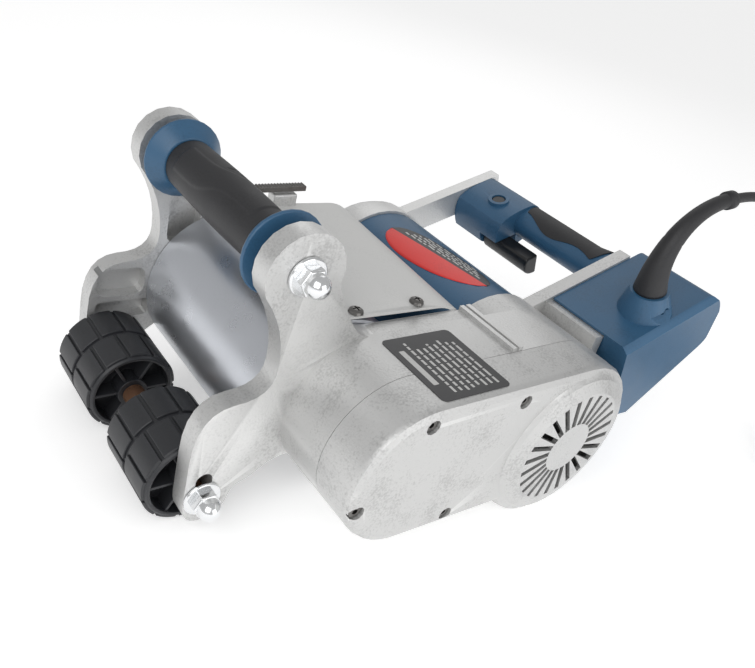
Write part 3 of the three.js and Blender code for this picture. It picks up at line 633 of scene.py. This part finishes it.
def makeRelief(s):
    foot = Vector(fromRear(*s["footSpot"]))
    tip = Vector(s["tip"])
    handles = [foot, foot + Vector((-15, 0, 42)), Vector((foot.x + 10, -139, tip.z - 3)), tip]
    count = 200
    curve = []
    for i in range(count + 1):
        t = i / count
        u = 1 - t
        shares = (u ** 3, 3 * u * u * t, 3 * u * t * t, t ** 3)
        curve.append(sum((spot * part for spot, part in zip(handles, shares)), Vector()))
    lengths = [0]
    for a, b in zip(curve, curve[1:]):
        lengths.append(lengths[-1] + (b - a).length)
    whole = lengths[-1]

    def at(distance):
        for i in range(count):
            if lengths[i + 1] >= distance - 1e-9:
                share = (distance - lengths[i]) / max(1e-9, lengths[i + 1] - lengths[i])
                return curve[i].lerp(curve[i + 1], share), (curve[i + 1] - curve[i]).normalized()
        return curve[-1], (curve[-1] - curve[-2]).normalized()

    profile = []
    for i in range(49):
        t = i / 48
        r = s["end"] + (s["foot"] - s["end"]) * (1 - t) ** 2.3
        if abs(t - 0.42) < 0.011:
            r -= 0.25
        profile.append((r, (whole - 9) * t))
    profile += [(s["collar"], whole - 8.4), (s["collar"], whole - 1), (s["collar"] - 1, whole - 0.1)]
    form = bmesh.new()
    sides = 40
    rings = []
    for r, distance in profile:
        centre, along = at(distance)
        side = Vector((along.z, 0, -along.x))
        ring = []
        for i in range(sides):
            angle = 2 * math.pi * i / sides
            spot = centre + side * (r * math.cos(angle)) + Vector((0, r * math.sin(angle), 0))
            ring.append(form.verts.new(place(*spot)))
        rings.append(ring)
    for a, b in zip(rings, rings[1:]):
        for i in range(sides):
            form.faces.new((a[i], a[(i + 1) % sides], b[(i + 1) % sides], b[i]))
    form.faces.new(rings[0])
    form.faces.new(rings[-1])
    addPiece("cable_boot", meshFrom(form, "cable_boot"), "black_rubber", "chassis", ["strain_relief"])


makeRelief(reliefSetup)


# depth rest on the far plate
restSetup = {"x": (30, 52), "y": (82.5, 94), "z": (138, 154), "bar": ((14, 84, 156), (60, 91, 160))}


def makeRest(s):
    form = bmesh.new()
    low = place(s["x"][0], s["y"][0], s["z"][0])
    high = place(s["x"][1], s["y"][1], s["z"][1])
    addBlock(form, low, high)
    piece = addPiece("depth_rest", meshFrom(form, "depth_rest"), "cast_silver", "chassis")
    softenEdges(piece, 1.5, 3)
    form = bmesh.new()
    low = Vector(s["bar"][0])
    high = Vector(s["bar"][1])
    steps = 16
    wide = (high.x - low.x) / steps
    outline = [(low.x, low.z), (low.x, high.z)]
    for k in range(steps):
        outline += [(low.x + wide * (k + 0.5), high.z + 1.3), (low.x + wide * (k + 1), high.z)]
    outline.append((high.x, low.z))
    near = [form.verts.new(place(x, low.y, z)) for x, z in outline]
    far = [form.verts.new(place(x, high.y, z)) for x, z in outline]
    form.faces.new(near)
    form.faces.new(far)
    for i in range(len(outline)):
        j = (i + 1) % len(outline)
        form.faces.new((near[i], near[j], far[j], far[i]))
    piece = addPiece("depth_rest_bar", meshFrom(form, "depth_rest_bar"), "dark_steel", "chassis")
    softenEdges(piece, 0.3, 2)


makeRest(restSetup)


# label and sticker, both without lettering
labelSetup = {"corner": (4.6, -171), "size": (60.5, 67), "top": 139.1, "thick": 0.35, "round": 4}


def roundedRing(form, x0, y0, x1, y1, z, radius, bend):
    ring = []
    for cx, cy, start in ((x1 - radius, y1 - radius, 0), (x0 + radius, y1 - radius, 90),
                          (x0 + radius, y0 + radius, 180), (x1 - radius, y0 + radius, 270)):
        for i in range(7):
            angle = math.radians(start + 15 * i)
            ring.append(form.verts.new(bend(cx + radius * math.cos(angle), cy + radius * math.sin(angle), z)))
    return ring


def flatPlate(form, x0, y0, x1, y1, z0, z1, radius, bend):
    low = roundedRing(form, x0, y0, x1, y1, z0, radius, bend)
    high = roundedRing(form, x0, y0, x1, y1, z1, radius, bend)
    form.faces.new(high)
    form.faces.new(list(reversed(low)))
    for i in range(len(low)):
        j = (i + 1) % len(low)
        form.faces.new((low[i], low[j], high[j], high[i]))


def makeLabel(s):
    x0, y0 = s["corner"]
    wide, deep = s["size"]

    def bend(x, y, z):
        return place(x, y, z - caseFall * x)

    form = bmesh.new()
    flatPlate(form, x0, y0, x0 + wide, y0 + deep, s["top"] + 0.02, s["top"] + s["thick"], s["round"], bend)
    addPiece("case_label", meshFrom(form, "case_label", False), "black_plastic", "chassis", finish=labelDark)
    bars = bmesh.new()
    top = s["top"] + s["thick"]
    for k in range(8):
        from_ = x0 + 14 + 5.4 * k
        start = y0 + 5 + random.uniform(0, 3)
        end = y0 + deep - 5 - random.uniform(0, 12)
        while start < end:
            step = random.uniform(3, 8)
            stop = min(end, start + step)
            flatPlate(bars, from_, start, from_ + 2.0, stop, top + 0.02, top + 0.08, 0.4, bend)
            start += step + 1.2
    flatPlate(bars, x0 + 5, y0 + 16, x0 + 9.5, y0 + deep - 14, top + 0.02, top + 0.08, 0.6, bend)
    mesh = meshFrom(bars, "case_label_bars", False)
    addPiece("case_label_bars", mesh, "sheet_silver", "chassis", finish=labelLight)


makeLabel(labelSetup)

stickerSetup = {"middle": -3, "half": 54, "angle": 94.5, "tilt": 7.5, "front": 21, "rear": 18, "lift": 0.12}


def makeSticker(s):
    radius = 66.5 + s["lift"]
    centre = Vector((motorAxis.x, gripAxis.y, motorAxis.z))

    def onShell(along, degrees, lift=0.0):
        a = math.radians(degrees)
        r = radius + lift
        return centre + Vector((r * math.cos(a), along, r * math.sin(a))) * mm

    form = bmesh.new()
    steps = 48
    across = 16
    grid = []
    for i in range(steps + 1):
        t = -1 + 2 * i / steps
        bulge = math.sqrt(max(0.0004, 1 - abs(t) ** 2.3))
        split = s["angle"] + s["tilt"] * t
        low = split - s["rear"] * bulge
        high = split + s["front"] * bulge
        along = s["middle"] + t * s["half"]
        half = across // 2
        angles = [low + (split - low) * j / half for j in range(half)]
        angles += [split + (high - split) * j / half for j in range(half + 1)]
        grid.append([form.verts.new(onShell(along, degrees)) for degrees in angles])
    for a, b in zip(grid, grid[1:]):
        for j in range(across):
            form.faces.new((a[j], b[j], b[j + 1], a[j + 1]))
    mesh = meshFrom(form, "motor_sticker")
    piece = addPiece("motor_sticker", mesh, "black_plastic", "chassis", finish=[stickerRed, stickerDark])
    for face in mesh.polygons:
        face.material_index = 0 if face.index % across >= across // 2 else 1
    thick = piece.modifiers.new("film", "SOLIDIFY")
    thick.thickness = 0.1 * mm
    thick.offset = 1
    bars = bmesh.new()
    for k in range(4):
        reach = s["half"] * (0.78 - 0.08 * k)
        start = s["middle"] - reach
        while start < s["middle"] + reach:
            step = random.uniform(3, 9)
            degrees = s["angle"] + s["tilt"] * (start - s["middle"]) / s["half"] - 3 - 3.2 * k
            cells = [(start, degrees), (min(start + step, s["middle"] + reach), degrees),
                     (min(start + step, s["middle"] + reach), degrees - 1.5), (start, degrees - 1.5)]
            bars.faces.new([bars.verts.new(onShell(y, d, 0.2)) for y, d in cells])
            start += step + 1.5
    mesh = meshFrom(bars, "motor_sticker_bars", False)
    piece = addPiece("motor_sticker_bars", mesh, "sheet_silver", "chassis", finish=labelLight)
    film = piece.modifiers.new("film", "SOLIDIFY")
    film.thickness = 0.06 * mm


makeSticker(stickerSetup)
print("label and sticker made")

# finishes on the pieces that keep their own shape
for subpart in frame["record"]["subparts"]:
    holder = nodes[subpart["node"]]
    for slotSpot in holder.material_slots:
        slotSpot.material = finishes[subpart["material_slot"]]


# floor
def makeFloor():
    form = bmesh.new()
    bmesh.ops.create_grid(form, x_segments=1, y_segments=1, size=60)
    floor = bpy.data.objects.new("floor", meshFrom(form, "floor"))
    bpy.context.collection.objects.link(floor)
    floor.location.z = -0.0005
    paleFloor = makeFinish("paleFloor", (0.88, 0.88, 0.88), 0.75)
    glow = paleFloor.node_tree.nodes["Principled BSDF"]
    glow.inputs["Emission Color"].default_value = (1, 1, 1, 1)
    glow.inputs["Emission Strength"].default_value = 0.42  # keeps the backdrop clean
    floor.data.materials.append(paleFloor)


makeFloor()
print("floor made")
